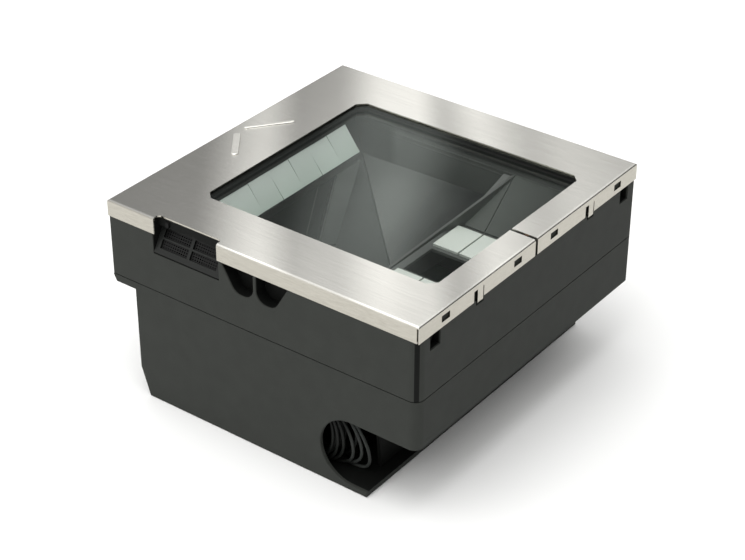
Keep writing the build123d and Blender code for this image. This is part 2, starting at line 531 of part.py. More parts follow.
with BuildPart() as motor_base:
    rod(*SPIN, DECK, DECK + 4, 19)
    rod(*SPIN, DECK + 3, DECK + 13, 7.5)
    with BuildSketch(Plane.XY.offset(DECK)):
        with Locations(SPIN):
            with PolarLocations(EAR_R, MOTOR_EARS):
                Circle(4)
    extrude(amount=2.5)
    rod(*SPIN, DECK + 2, DECK + 14, 5, mode=Mode.SUBTRACT)
    with BuildSketch(Plane.XY.offset(DECK)):
        with Locations(SPIN):
            with PolarLocations(EAR_R, MOTOR_EARS):
                Circle(1.7)
    extrude(amount=3, mode=Mode.SUBTRACT)
save("motor_base", motor_base.part)

with BuildPart() as spinner_bearing:
    rod(*SPIN, DECK + 3, DECK + 13, 5)
    rod(*SPIN, DECK + 2, DECK + 14, SHAFT_R + SHAFT_PLAY, mode=Mode.SUBTRACT)
save("spinner_bearing", spinner_bearing.part)

WHEEL_Z = DECK + 20.0
with BuildPart() as spinner_shaft:
    rod(*SPIN, DECK + 3, WHEEL_Z + 14, SHAFT_R)
save("spinner_shaft", spinner_shaft.part)

with BuildPart() as rotor_cup:
    rod(*SPIN, DECK + 5, WHEEL_Z, 16)
    rod(*SPIN, DECK + 4, DECK + 14.5, 14.2, mode=Mode.SUBTRACT)
    with BuildSketch(Plane.XY.offset(DECK + 14)):
        with Locations(SPIN):
            Circle(SHAFT_R)
    extrude(amount=7, mode=Mode.SUBTRACT)
save("rotor_cup", rotor_cup.part)

with BuildPart() as facet_wheel:
    with BuildSketch(Plane.XY.offset(WHEEL_Z)):
        with Locations(SPIN):
            RegularPolygon(21, 6)
    extrude(amount=12, taper=3)
    rod(*SPIN, WHEEL_Z - 1, WHEEL_Z + 13, SHAFT_R, mode=Mode.SUBTRACT)
save("facet_wheel", facet_wheel.part)

with BuildPart() as wheel_clip:
    rod(*SPIN, WHEEL_Z + 12, WHEEL_Z + 13, 5)
    rod(*SPIN, WHEEL_Z + 11, WHEEL_Z + 14, SHAFT_R, mode=Mode.SUBTRACT)
save("wheel_clip", wheel_clip.part)

# ---------------------------------------------------------------- laser, collecting lens and detector
LASER = (-6.0, -96.0)
BEAM_Z = WHEEL_Z + 6.0
with BuildPart() as laser_bracket:
    x, y = LASER
    box(x - 9, x + 9, y - 11, y + 11, DECK, DECK + 2)
    box(x - 9, x + 9, y - 8, y + 8, DECK + 1, BEAM_Z + 7)
    plane = Plane(origin=(x, y - 8, BEAM_Z), x_dir=(1, 0, 0), z_dir=(0, 1, 0))
    with BuildSketch(plane):
        Circle(5)
    extrude(amount=16, mode=Mode.SUBTRACT)
    box(x - 10, x + 10, y - 4, y + 4, DECK + 2, BEAM_Z - 8, mode=Mode.SUBTRACT)
save("laser_bracket", laser_bracket.part)

with BuildPart() as laser_module:
    rod_y(x, BEAM_Z, y - 14, y + 12, 5)
    rod_y(x, BEAM_Z, y + 10, y + 13, 2, mode=Mode.SUBTRACT)
save("laser_module", laser_module.part)

DETECTOR = (-62.0, -96.0)
with BuildPart() as detector_board:
    x, y = DETECTOR
    box(x - 17, x + 17, y - 1.6, y, DECK, DECK + 34)
save("detector_board", detector_board.part)

with BuildPart() as photodiode:
    box(x - 4, x + 4, y, y + 2, BEAM_Z - 4, BEAM_Z + 4)
save("photodiode", photodiode.part)

with BuildPart() as lens_holder:
    box(x - 14, x + 14, y, y + 24, DECK, DECK + 4)
    box(x - 14, x + 14, y + 18, y + 24, DECK + 3, BEAM_Z + 13)
    rod_y(x, BEAM_Z, y + 17, y + 25, 10, mode=Mode.SUBTRACT)
    for side in (-1, 1):
        box(*sorted((x + side * 14, x + side * 11)), y, y + 20, DECK + 3, DECK + 12)
save("lens_holder", lens_holder.part)

with BuildPart() as collection_lens:
    with BuildSketch(Plane.XZ.offset(-(y + 19))):
        with Locations((x, BEAM_Z)):
            Circle(10)
    extrude(amount=-2)
    with BuildSketch(Plane(origin=(x, y + 21, BEAM_Z), x_dir=(1, 0, 0), z_dir=(0, 0, 1))):
        with BuildLine():
            Line((0, 0), (10, 0))
            ThreePointArc((10, 0), (5.6, 2.6), (0, 3.6))
            Line((0, 3.6), (0, 0))
        make_face()
    revolve(axis=Axis((x, y, BEAM_Z), (0, 1, 0)))
save("collection_lens", collection_lens.part)

# ---------------------------------------------------------------- boards, sockets and wiring
BOARD = (-110.0, 58.0, 24.0, 134.0)
STANDS = ((-106.0, 28.0), (54.0, 28.0), (-106.0, 130.0), (54.0, 130.0))
BOARD_TOP = BOARD_Z + BOARD_T
with BuildPart() as main_board:
    box(*BOARD, BOARD_Z, BOARD_TOP)
    for x, y in STANDS:
        rod(x, y, BOARD_Z - 1, BOARD_TOP + 1, 1.7, mode=Mode.SUBTRACT)
    for x, y, w, d, h in ((-60, 90, 26, 26, 2.4), (-20, 96, 16, 16, 1.8), (14, 60, 12, 18, 2), (-70, 50, 10, 22, 4),
                          (30, 104, 12, 12, 7), (-30, 52, 20, 8, 5)):
        box(x - w / 2, x + w / 2, y - d / 2, y + d / 2, BOARD_TOP - 0.2, BOARD_TOP + h)
save("main_board", main_board.part)

with BuildPart() as port_board:
    box(30, 84, -62, -60.4, 14, 66)
save("port_board", port_board.part)


def socket(x, z):
    """A modular socket that opens towards the front of the bay."""
    with BuildPart() as made:
        box(x - 8, x + 8, BAY[3] + WALL, -62, z - 7, z + 7)
        box(x - 6, x + 6, BAY[3], BAY[3] + WALL + 0.5, z - 5, z + 5)
        box(x - 4.9, x + 4.9, BAY[3] - 1, BAY[3] + 12, z - 3.3, z + 3.3, mode=Mode.SUBTRACT)
    return made.part


save("host_port", socket(JACK_XS[0], JACK_Z))
save("aux_port", socket(JACK_XS[1], JACK_Z))

with BuildPart() as power_jack:
    px, pz = POWER
    box(px - 6, px + 6, BAY[3] + WALL, -62, pz - 6, pz + 6)
    rod_y(px, pz, BAY[3], BAY[3] + WALL + 0.5, 4)
    rod_y(px, pz, BAY[3] - 1, BAY[3] + 10, 2.9, mode=Mode.SUBTRACT)
    rod_y(px, pz, BAY[3] + 1, BAY[3] + 11, 0.9)
save("power_jack", power_jack.part)

RIBBON_W = 14.0
with BuildPart() as board_ribbon:
    # from the port board, down and back to the main board
    with BuildSketch(Plane(origin=(44, 0, 0), x_dir=(0, 1, 0), z_dir=(1, 0, 0))):
        with BuildLine():
            path = FilletPolyline((-60.0, 34), (-50, 34), (-34, 20), (20, 20), (32, BOARD_TOP + 4.4), radius=5)
            offset(path, amount=0.4)
        make_face()
    extrude(amount=RIBBON_W)
save("board_ribbon", board_ribbon.part)

with BuildPart() as motor_ribbon:
    with BuildSketch(Plane(origin=(SPIN[0] - 5, 0, 0), x_dir=(0, 1, 0), z_dir=(1, 0, 0))):
        with BuildLine():
            path = FilletPolyline((SPIN[1] + 24, DECK + 0.6), (22, DECK + 0.6), (30, 34), (44, BOARD_TOP + 5.6), radius=4)
            offset(path, amount=0.4)
        make_face()
    extrude(amount=10)
save("motor_ribbon", motor_ribbon.part)


# ---------------------------------------------------------------- screws
def screw(x, y, seat, length, radius, head_r, head_h, up=True):
    """A pan-head screw with a socket; `seat` is where its head bears, the shank runs up or down."""
    sign = 1 if up else -1
    with BuildPart() as made:
        rod(x, y, *sorted((seat, seat + sign * length)), radius)
        rod(x, y, *sorted((seat, seat - sign * head_h)), head_r)
        rod(x, y, *sorted((seat - sign * head_h, seat - sign * head_h * 0.4)), head_r * 0.45, mode=Mode.SUBTRACT)
    return made.part


with BuildPart() as case_screws:
    for x, y in BOSS_SITES:
        add(screw(x, y, UPPER_Z - 4, 14, 1.65, 3.6, 2.6))
save("case_screws", case_screws.part)

with BuildPart() as chassis_screws:
    for x, y in POSTS:
        add(screw(x, y, DECK, 9, 1.25, 2.8, 2, up=False))
save("chassis_screws", chassis_screws.part)

with BuildPart() as board_screws:
    for x, y in STANDS:
        add(screw(x, y, BOARD_TOP, 7, 1.25, 2.8, 2, up=False))
save("board_screws", board_screws.part)

with BuildPart() as motor_screws:
    for i in range(MOTOR_EARS):
        angle = math.radians(360 / MOTOR_EARS * i)
        add(screw(SPIN[0] + EAR_R * math.cos(angle), SPIN[1] + EAR_R * math.sin(angle), DECK + 2.5, 4.5, 1.25,
                  2.4, 1.6, up=False))
save("motor_screws", motor_screws.part)

# ---------------------------------------------------------------- interface cable in its bay
ex, ey, ez = CORD_EXIT
with BuildPart() as cable_plug:
    box(ex - 4.8, ex + 4.8, ey + 5, BAY[3] + 9, ez - 3.2, ez + 3.2)
    with BuildSketch(Plane(origin=(ex, ey + 6, ez), x_dir=(1, 0, 0), z_dir=(0, -1, 0))):
        RectangleRounded(8, 5.6, 2)
    with BuildSketch(Plane(origin=(ex, ey, ez), x_dir=(1, 0, 0), z_dir=(0, -1, 0))):
        Circle(2.3)
    loft()
save("cable_plug", cable_plug.part)

with BuildPart() as cable_lead:
    rod_y(ex, ez, COIL_Y[1], ey, CORD_D / 2)
save("cable_lead", cable_lead.part)

COIL = (52.5, 34.8)     # middle of the coil: x, z
COIL_HALF = (27.0, 30.0)                # half width and half height of the ring of turns
COIL_BAND = 12.0        # width of the band of turns
with BuildPart() as cable_coil:
    plane = Plane(origin=(COIL[0], COIL_Y[0], COIL[1]), x_dir=(1, 0, 0), z_dir=(0, 1, 0))
    with BuildSketch(plane):
        Ellipse(*COIL_HALF)
        Ellipse(COIL_HALF[0] - COIL_BAND, COIL_HALF[1] - COIL_BAND, mode=Mode.SUBTRACT)
    extrude(amount=COIL_Y[1] - COIL_Y[0])
save("cable_coil", cable_coil.part)

PLUG = (60.0, FLOOR_T + 3.2)            # plug on the far end, lying on the bay floor: x, z
with BuildPart() as cable_tail:
    rod_y(PLUG[0], PLUG[1], COIL_Y[1], COIL_Y[1] + 7, CORD_D / 2)
save("cable_tail", cable_tail.part)

with BuildPart() as far_plug:
    x, z = PLUG
    box(x - 6, x + 6, COIL_Y[1] + 7, COIL_Y[1] + 21, FLOOR_T, FLOOR_T + 6.4)
    fillet(far_plug.edges().filter_by(Axis.Y), 1.2)
    box(x - 4.5, x + 4.5, COIL_Y[1] + 20, COIL_Y[1] + 31, z - 2, z + 2)
save("far_plug", far_plug.part)
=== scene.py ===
"""Looks of the in-counter barcode scanner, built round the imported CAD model. Lengths are in metres."""
import bpy
import json
import math
from mathutils import Matrix, Vector


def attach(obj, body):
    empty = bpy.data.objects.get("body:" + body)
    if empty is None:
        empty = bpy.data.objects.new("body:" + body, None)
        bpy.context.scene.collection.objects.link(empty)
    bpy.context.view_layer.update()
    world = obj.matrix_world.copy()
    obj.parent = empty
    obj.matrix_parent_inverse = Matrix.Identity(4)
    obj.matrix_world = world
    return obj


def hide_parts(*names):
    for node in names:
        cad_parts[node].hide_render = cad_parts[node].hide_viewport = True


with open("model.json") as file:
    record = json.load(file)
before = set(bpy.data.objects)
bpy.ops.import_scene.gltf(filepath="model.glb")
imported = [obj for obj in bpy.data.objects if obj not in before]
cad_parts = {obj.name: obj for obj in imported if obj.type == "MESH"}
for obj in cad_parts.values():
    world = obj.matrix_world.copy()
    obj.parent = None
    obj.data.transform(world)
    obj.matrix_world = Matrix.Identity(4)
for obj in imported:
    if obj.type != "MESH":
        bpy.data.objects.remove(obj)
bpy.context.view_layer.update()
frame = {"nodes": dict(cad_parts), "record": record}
nodes = frame["nodes"]
MM = 0.001
COLLECTION = bpy.context.scene.collection


# ---------------------------------------------------------------- camera
CAMERA_AT = (0.7833, -1.0473, 0.9045)
AZIMUTH, ELEVATION, ROLL = 36.92, 32.27, 0.10      # degrees; azimuth 0 looks along +Y


def make_camera():
    """The photograph's viewing angle."""
    azimuth, elevation, roll = math.radians(AZIMUTH), math.radians(ELEVATION), math.radians(ROLL)
    data = bpy.data.cameras.new("camera")
    data.lens, data.sensor_width = 93.94, 36
    data.clip_start, data.clip_end = 0.05, 60
    camera = bpy.data.objects.new("camera", data)
    turn = Matrix.Rotation(azimuth, 4, "Z") @ Matrix.Rotation(math.pi / 2 - elevation, 4, "X")
    camera.matrix_world = Matrix.Translation(CAMERA_AT) @ turn @ Matrix.Rotation(roll, 4, "Z")
    COLLECTION.objects.link(camera)
    bpy.context.scene.camera = camera


make_camera()


# ---------------------------------------------------------------- node helpers
def set_socket(shader, **values):
    """Set a shader's own sockets by name, with _ for a space."""
    for name, value in values.items():
        shader.inputs[name.replace("_", " ")].default_value = value


def material(name, base=(0.5, 0.5, 0.5), **values):
    """A new material with a Principled shader; returns it with its nodes, links and shader."""
    made = bpy.data.materials.new(name)
    made.use_nodes = True
    tree = made.node_tree
    shader = tree.nodes["Principled BSDF"]
    set_socket(shader, Base_Color=(*base, 1), **values)
    return made, tree.nodes, tree.links, shader


def add_node(tree_nodes, kind, **values):
    """A new shader node; keys that are sockets are set as sockets, the rest as properties."""
    node = tree_nodes.new("ShaderNode" + kind)
    for key, value in values.items():
        name = key.replace("_", " ")
        if name in node.inputs:
            node.inputs[name].default_value = value
        else:
            setattr(node, key, value)
    return node


def stretched(tree_nodes, links, scale, kind="TexNoise", **values):
    """A texture over the object's own coordinates, scaled by a different amount along each axis."""
    where = tree_nodes.new("ShaderNodeTexCoord")
    mapping = add_node(tree_nodes, "Mapping")
    mapping.inputs["Scale"].default_value = scale
    texture = add_node(tree_nodes, kind, **values)
    links.new(where.outputs["Object"], mapping.inputs["Vector"])
    links.new(mapping.outputs["Vector"], texture.inputs["Vector"])
    return texture


def ramp(tree_nodes, links, source, stops):
    """A colour ramp from a texture's factor: stops are (place, colour or grey)."""
    node = tree_nodes.new("ShaderNodeValToRGB")
    while len(node.color_ramp.elements) < len(stops):
        node.color_ramp.elements.new(0.5)
    for element, (place, colour) in zip(node.color_ramp.elements, stops):
        element.position = place
        element.color = (colour, colour, colour, 1) if isinstance(colour, float) else (*colour, 1)
    links.new(source, node.inputs["Fac"])
    return node


def spread_of(tree_nodes, links, source, before, after):
    """A value carried from one range to another, held at its ends."""
    node = add_node(tree_nodes, "MapRange")
    for name, value in zip(("From Min", "From Max", "To Min", "To Max"), (*before, *after)):
        node.inputs[name].default_value = value
    links.new(source, node.inputs["Value"])
    return node.outputs["Result"]


def bump(tree_nodes, links, shader, source, strength, distance):
    """A bump from a height, onto the shader's normal."""
    node = add_node(tree_nodes, "Bump", Strength=strength, Distance=distance)
    links.new(source, node.inputs["Height"])
    links.new(node.outputs["Normal"], shader.inputs["Normal"])
    return node


# ---------------------------------------------------------------- materials
RIB_HIGHLIGHT_HEIGHTS = (0.16905, 0.16935)                    # the cover's ribs start between these heights; above them the steel is painted white as a highlight
GRILLE_NORMAL = (0, -0.844, 0.537)                  # out of the sloped speaker grille
GRILLE_FACE = (0.1966, 0.1971)                      # its sunken fields and its face, along that normal
PALE_LINE_ACROSS = (0.0, 1.0, -0.434)               # across the pale line on the mirror frame
PALE_LINE = (-0.0208, -0.0192)                      # its two edges, in that direction
COIL_LIT = (0.070, 0.076)                           # the cable comes out of the dark between these X; left of them it is painted near black as shade


def steel():
    """Brushed stainless sheet: grain along X, slanting bands of painted reflection on its upward faces, a
    duller flange and ribs painted white as a highlight.
    """
    made, n, links, shader = material("brushed_steel", Metallic=1.0, Roughness=0.26, Anisotropic=1.0)
    grain = stretched(n, links, (10, 2400, 2400), Detail=4.0, Roughness=0.7)
    where = n.new("ShaderNodeTexCoord")
    slant = add_node(n, "VectorMath", operation="DOT_PRODUCT")
    slant.inputs[1].default_value = (1.3, 1.0, 0.0)
    links.new(where.outputs["Object"], slant.inputs[0])
    place = spread_of(n, links, slant.outputs["Value"], (-0.34, 0.34), (0.0, 1.0))
    # painted reflection: bright and dark bands set by position along 1.3 X + Y stand in for the reflections
    # across the top
    painted_sheen = ramp(n, links, place, [(0.0, 0.38), (0.16, 0.39), (0.28, 0.93), (0.36, 0.47), (0.42, 0.47),
                                   (0.52, 0.80), (0.58, 0.80), (0.635, 0.56), (0.71, 0.95), (0.80, 0.71),
                                   (0.87, 0.84), (1.0, 0.70)])
    painted_sheen.color_ramp.interpolation = "EASE"
    surface = n.new("ShaderNodeNewGeometry")
    upright = n.new("ShaderNodeSeparateXYZ")
    links.new(surface.outputs["True Normal"], upright.inputs["Vector"])
    blotches = stretched(n, links, (35, 35, 420), Detail=4.0)
    flange = ramp(n, links, blotches.outputs["Fac"], [(0.3, (0.48, 0.465, 0.43)), (0.7, (0.57, 0.555, 0.52))])
    # the painted reflection goes only on upward faces; the sides keep the flange's mottled tone
    flat = spread_of(n, links, upright.outputs["Z"], (0.2, 0.8), (0.0, 1.0))
    height = n.new("ShaderNodeSeparateXYZ")
    links.new(where.outputs["Object"], height.inputs["Vector"])
    rib_highlight = spread_of(n, links, height.outputs["Z"], RIB_HIGHLIGHT_HEIGHTS, (0.0, 1.0))
    plain = mixed(n, links, flat, flange.outputs["Color"], painted_sheen.outputs["Color"])
    # painted highlight: the raised ribs are painted white
    tone = mixed(n, links, rib_highlight, plain, (1.0, 1.0, 1.0))
    strokes = stretched(n, links, (4, 760, 760), Detail=5.0, Roughness=0.75)
    brushed = ramp(n, links, strokes.outputs["Fac"],
                   [(0.36, (0.84, 0.825, 0.78)), (0.64, (1.0, 0.985, 0.94))])
    colour = add_node(n, "Mix", data_type="RGBA", blend_type="MULTIPLY")
    colour.inputs[0].default_value = 1.0
    links.new(brushed.outputs["Color"], colour.inputs[6])
    links.new(tone, colour.inputs[7])
    links.new(colour.outputs[2], shader.inputs["Base Color"])
    rough = ramp(n, links, grain.outputs["Fac"], [(0.2, 0.23), (0.8, 0.29)])
    links.new(rough.outputs["Color"], shader.inputs["Roughness"])
    bump(n, links, shader, grain.outputs["Fac"], 0.1, 0.00003)
    across = add_node(n, "VectorMath", operation="CROSS_PRODUCT")
    across.inputs[1].default_value = (1.0, 0.0, 0.05)
    links.new(surface.outputs["True Normal"], across.inputs[0])
    links.new(across.outputs["Vector"], shader.inputs["Tangent"])
    return made


def moulded(name, base, rough=0.5, grain=900.0, depth=0.00006, spread=0.05, gloss=0.3):
    """Moulded plastic with a fine spark-eroded texture and slight colour drift."""
    made, n, links, shader = material(name, base, Roughness=rough, Specular_IOR_Level=gloss)
    fine = stretched(n, links, (grain, grain, grain), Detail=2.0)
    drift = stretched(n, links, (14, 14, 14), Detail=3.0)
    low = tuple(c * (1 - spread) for c in base)
    high = tuple(c * (1 + spread) for c in base)
    colour = ramp(n, links, drift.outputs["Fac"], [(0.3, low), (0.7, high)])
    links.new(colour.outputs["Color"], shader.inputs["Base Color"])
    shine = ramp(n, links, fine.outputs["Fac"], [(0.3, rough - 0.06), (0.7, rough + 0.08)])
    links.new(shine.outputs["Color"], shader.inputs["Roughness"])
    bump(n, links, shader, fine.outputs["Fac"], 0.3, depth)
    return made


def inside_box(tree_nodes, links, centre, half):
    """1 inside a box in the object's own coordinates, 0 outside it."""
    where = tree_nodes.new("ShaderNodeTexCoord")
    source = where.outputs["Object"]
    for operation, value in (("SUBTRACT", centre), ("ABSOLUTE", None), ("SUBTRACT", half)):
        step = add_node(tree_nodes, "VectorMath", operation=operation)
        if value:
            step.inputs[1].default_value = value
        links.new(source, step.inputs[0])
        source = step.outputs["Vector"]
    split = tree_nodes.new("ShaderNodeSeparateXYZ")
    links.new(source, split.inputs["Vector"])
    value = split.outputs["X"]
    for axis in "YZ":
        larger = add_node(tree_nodes, "Math", operation="MAXIMUM")
        links.new(value, larger.inputs[0])
        links.new(split.outputs[axis], larger.inputs[1])
        value = larger.outputs["Value"]
    below = add_node(tree_nodes, "Math", operation="LESS_THAN")
    below.inputs[1].default_value = 0.0
    links.new(value, below.inputs[0])
    return below.outputs["Value"]


def mixed(tree_nodes, links, factor, first, second):
    """Two colours mixed by a factor; each is a colour or an output."""
    mix = add_node(tree_nodes, "Mix", data_type="RGBA")
    links.new(factor, mix.inputs[0])
    for socket, colour in ((mix.inputs[6], first), (mix.inputs[7], second)):
        if isinstance(colour, tuple):
            socket.default_value = (*colour, 1)
        else:
            links.new(colour, socket)
    return mix.outputs[2]


def housing(name, centre, half, inner=(0.006, 0.0065, 0.006)):
    """The housing's plastic, with painted shade: near black on the walls inside the given box."""
    made = moulded(name, (0.037, 0.0395, 0.036), rough=0.6, gloss=0.08)
    n, links = made.node_tree.nodes, made.node_tree.links
    shader = n["Principled BSDF"]
    outer = shader.inputs["Base Color"].links[0].from_socket
    # painted shade: the walls in recesses and under overhangs are painted near black
    painted_shade_mask = inside_box(n, links, centre, half)
    links.new(mixed(n, links, painted_shade_mask, outer, inner), shader.inputs["Base Color"])
    return made


def grille_plastic():
    """Semi-gloss grille whose four sunken fields are black."""
    made = moulded("grille_plastic", (0.013, 0.014, 0.013), rough=0.42, gloss=0.22)
    n, links = made.node_tree.nodes, made.node_tree.links
    shader = n["Principled BSDF"]
    where = n.new("ShaderNodeTexCoord")
    depth = add_node(n, "VectorMath", operation="DOT_PRODUCT")
    depth.inputs[1].default_value = GRILLE_NORMAL
    links.new(where.outputs["Object"], depth.inputs[0])
    raised = spread_of(n, links, depth.outputs["Value"], GRILLE_FACE, (0.0, 1.0))
    face = shader.inputs["Base Color"].links[0].from_socket
    links.new(mixed(n, links, raised, (0.003, 0.003, 0.003), face), shader.inputs["Base Color"])
    return made


def frame_plastic():
    """The mirror frame: black under the glass, painted shade on the left and lower down, grey-green
    elsewhere, one pale line.
    """
    made = moulded("frame_plastic", (0.045, 0.05, 0.046), rough=0.35, depth=0.00001, gloss=0.4)
    n, links = made.node_tree.nodes, made.node_tree.links
    shader = n["Principled BSDF"]
    where = n.new("ShaderNodeTexCoord")
    split = n.new("ShaderNodeSeparateXYZ")
    links.new(where.outputs["Object"], split.inputs["Vector"])
    # painted shade: the frame is darker the lower it lies, away from the window; black at the top under the
    # glass
    height = spread_of(n, links, split.outputs["Z"], (0.100, 0.162), (0.0, 1.0))
    tone = ramp(n, links, height, [(0.0, (0.045, 0.050, 0.046)), (0.45, (0.062, 0.069, 0.063)),
                                   (0.84, (0.080, 0.088, 0.081)), (0.90, (0.006, 0.006, 0.006))])
    # painted shade: the part on the left is painted darker
    left = spread_of(n, links, split.outputs["X"], (-0.062, -0.054), (0.0, 1.0))
    body = mixed(n, links, left, (0.010, 0.012, 0.010), tone.outputs["Color"])
    slant = add_node(n, "VectorMath", operation="DOT_PRODUCT")
    slant.inputs[1].default_value = PALE_LINE_ACROSS
    links.new(where.outputs["Object"], slant.inputs[0])
    across = spread_of(n, links, slant.outputs["Value"], PALE_LINE, (0.0, 1.0))
    line = ramp(n, links, across, [(0.2, 0.0), (0.5, 1.0)])
    line.color_ramp.elements.new(0.8).color = (0, 0, 0, 1)
    near = inside_box(n, links, (-0.079, 0.025, 0.1035), (0.012, 0.014, 0.0205))
    seen = add_node(n, "Math", operation="MULTIPLY")
    links.new(line.outputs["Color"], seen.inputs[0])
    links.new(near, seen.inputs[1])
    streak = mixed(n, links, seen.outputs["Value"], body, (0.20, 0.22, 0.20))
    links.new(streak, shader.inputs["Base Color"])
    return made


def glass(name="window_glass", tint=(0.75, 0.82, 0.78)):
    """Clear glass: see-through, with a reflection that grows at a shallow angle."""
    made, n, links, shader = material(name, tint, Metallic=1.0, Roughness=0.04)
    weight = add_node(n, "LayerWeight", Blend=0.5)
    cover = ramp(n, links, weight.outputs["Facing"], [(0.0, 0.03), (0.45, 0.06)])
    for place, value in ((0.72, 0.16), (0.9, 0.5)):
        stop = cover.color_ramp.elements.new(place)
        stop.color = (value, value, value, 1)
    links.new(cover.outputs["Color"], shader.inputs["Alpha"])
    smear = stretched(n, links, (9, 9, 9), Detail=3.0)
    rough = ramp(n, links, smear.outputs["Fac"], [(0.35, 0.03), (0.7, 0.09)])
    links.new(rough.outputs["Color"], shader.inputs["Roughness"])
    return made


def mirror(name, low, high, axis="X", painted_reflection_span=(-0.1, 0.1), rough=0.28, metallic=0.75, gloss=0.5):
    """Coated mirror: soft reflections over a painted reflection, a colour that runs from low to high along
    one axis.
    """
    made, n, links, shader = material(name, high, Metallic=metallic, Roughness=rough,
                                      Specular_IOR_Level=gloss)
    where = n.new("ShaderNodeTexCoord")
    split = n.new("ShaderNodeSeparateXYZ")
    spread = add_node(n, "MapRange")
    spread.inputs["From Min"].default_value, spread.inputs["From Max"].default_value = painted_reflection_span
    links.new(where.outputs["Object"], split.inputs["Vector"])
    links.new(split.outputs[axis], spread.inputs["Value"])
    # painted reflection: the base colour runs from low to high across the given range, standing in for what
    # the mirror reflects
    colour = ramp(n, links, spread.outputs["Result"], [(0.0, low), (1.0, high)])
    links.new(colour.outputs["Color"], shader.inputs["Base Color"])
    haze = stretched(n, links, (60, 60, 60), Detail=3.0)
    soft = ramp(n, links, haze.outputs["Fac"], [(0.35, rough - 0.05), (0.7, rough + 0.07)])
    links.new(soft.outputs["Color"], shader.inputs["Roughness"])
    return made


def metal(name, base, rough=0.25, grain=(300, 300, 300)):
    """Turned or stamped bare metal with faint tool marks."""
    made, n, links, shader = material(name, base, Metallic=1.0, Roughness=rough)
    marks = stretched(n, links, grain, Detail=3.0)
    shine = ramp(n, links, marks.outputs["Fac"], [(0.3, rough - 0.08), (0.7, rough + 0.1)])
    links.new(shine.outputs["Color"], shader.inputs["Roughness"])
    tint = ramp(n, links, marks.outputs["Fac"], [(0.3, tuple(c * 0.85 for c in base)), (0.7, base)])
    links.new(tint.outputs["Color"], shader.inputs["Base Color"])
    bump(n, links, shader, marks.outputs["Fac"], 0.15, 0.00004)
    return made


# ---------------------------------------------------------------- interface cable
CORD_D = 2.6 * MM
EXIT = Vector((50, -93, 56)) * MM
TURNS = 11.4
PER_TURN = 14                                       # control points in each turn
START = 0.12                                        # the coil starts this far into its first turn
LEAVE = 0.2                                         # share of a turn left to the lead and the tail
CENTRE_X, CENTRE_Z = 47.0, 32.8                     # middle of the turns, mm
REACH_LEFT, REACH_UP = 17.5, 23.0                   # from the middle to the inner turns, mm
BACK_Y, COIL_DEPTH = -121.5, 15                     # rearmost turn, and how far forward the others go, mm
LAYER = 5.2                                         # the outer layer starts after this many turns
FLOOR_Z = 5.4                                       # lowest height of the cable's middle, mm
RIGHT = (64, 63, 64, 62, 63, 62, 66, 70, 77, 83, 89, 74)    # how far right each turn reaches, mm
DROOP = (0, 0, 0, 0, 0, 0, 2, 5, 11, 11, 17, 6)              # how far its right side sags, mm


def coil_point(turn):
    """A point of the loose upright coil, in metres; turn counts turns from the top of the first."""
    angle = 2 * math.pi * turn
    side, up = math.sin(angle), math.cos(angle)
    outer = 0.5 - 0.5 * math.cos(math.pi * min(1, max(0, turn - LAYER)))
    right = RIGHT[int(turn)] - CENTRE_X
    left = REACH_LEFT + 4.2 * outer + 0.6 * math.sin(1.9 * turn)
    x = CENTRE_X + side * (right if side > 0 else left)
    z = max(FLOOR_Z, CENTRE_Z + up * (REACH_UP + 4.0 * outer) - DROOP[int(turn)] * max(0, side) ** 2)
    y = BACK_Y - COIL_DEPTH * (1 - abs(1 - 2 * turn / TURNS)) + 0.3 * math.sin(2.3 * turn)
    return Vector((x, y, z)) * MM


def cable_route():
    """Out of the plug, round the coil and along the bay floor to the far plug."""
    points = [EXIT + Vector(step) * MM for step in ((0, 0, 0), (0, -9, 0.6), (0.7, -18, 2.0), (3, -25, 1.5))]
    count = int((TURNS - LEAVE) * PER_TURN)
    points += [coil_point(START + i / PER_TURN) for i in range(count + 1)]
    tail = ((66, -121.4, 10.6), (62.5, -119.6, 8.0), (60.3, -115.5, 7.2), (60, -109, 7.2))
    points += [Vector(place) * MM for place in tail]
    return points


def nurbs(name, points, thickness):
    """A smooth tube along control points."""
    curve = bpy.data.curves.new(name, "CURVE")
    curve.dimensions = "3D"
    curve.bevel_depth = thickness / 2
    curve.bevel_resolution = 3
    curve.resolution_u = 4
    spline = curve.splines.new("NURBS")
    spline.points.add(len(points) - 1)
    for place, point in zip(spline.points, points):
        place.co = (*point, 1)
    spline.order_u = 3
    spline.use_endpoint_u = True
    made = bpy.data.objects.new(name, curve)
    COLLECTION.objects.link(made)
    return made


def jacket():
    """The cable's jacket, painted near black as shade where the coil lies in the dark, its own grey where it
    comes out to the light.
    """
    made = moulded("cable_jacket", (0.034, 0.037, 0.035), rough=0.5, grain=500.0, gloss=0.2)
    n, links = made.node_tree.nodes, made.node_tree.links
    shader = n["Principled BSDF"]
    split = n.new("ShaderNodeSeparateXYZ")
    links.new(n.new("ShaderNodeTexCoord").outputs["Object"], split.inputs["Vector"])
    lit = spread_of(n, links, split.outputs["X"], COIL_LIT, (0.0, 1.0))
    skin = shader.inputs["Base Color"].links[0].from_socket
    # painted shade: near black where the coil lies in the dark
    links.new(mixed(n, links, lit, (0.008, 0.009, 0.008), skin), shader.inputs["Base Color"])
    return made


cable_skin = jacket()
cable = nurbs("interface_cable", cable_route(), CORD_D)
cable.data.materials.append(cable_skin)
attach(cable, "housing")
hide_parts("cable_lead", "cable_coil", "cable_tail")


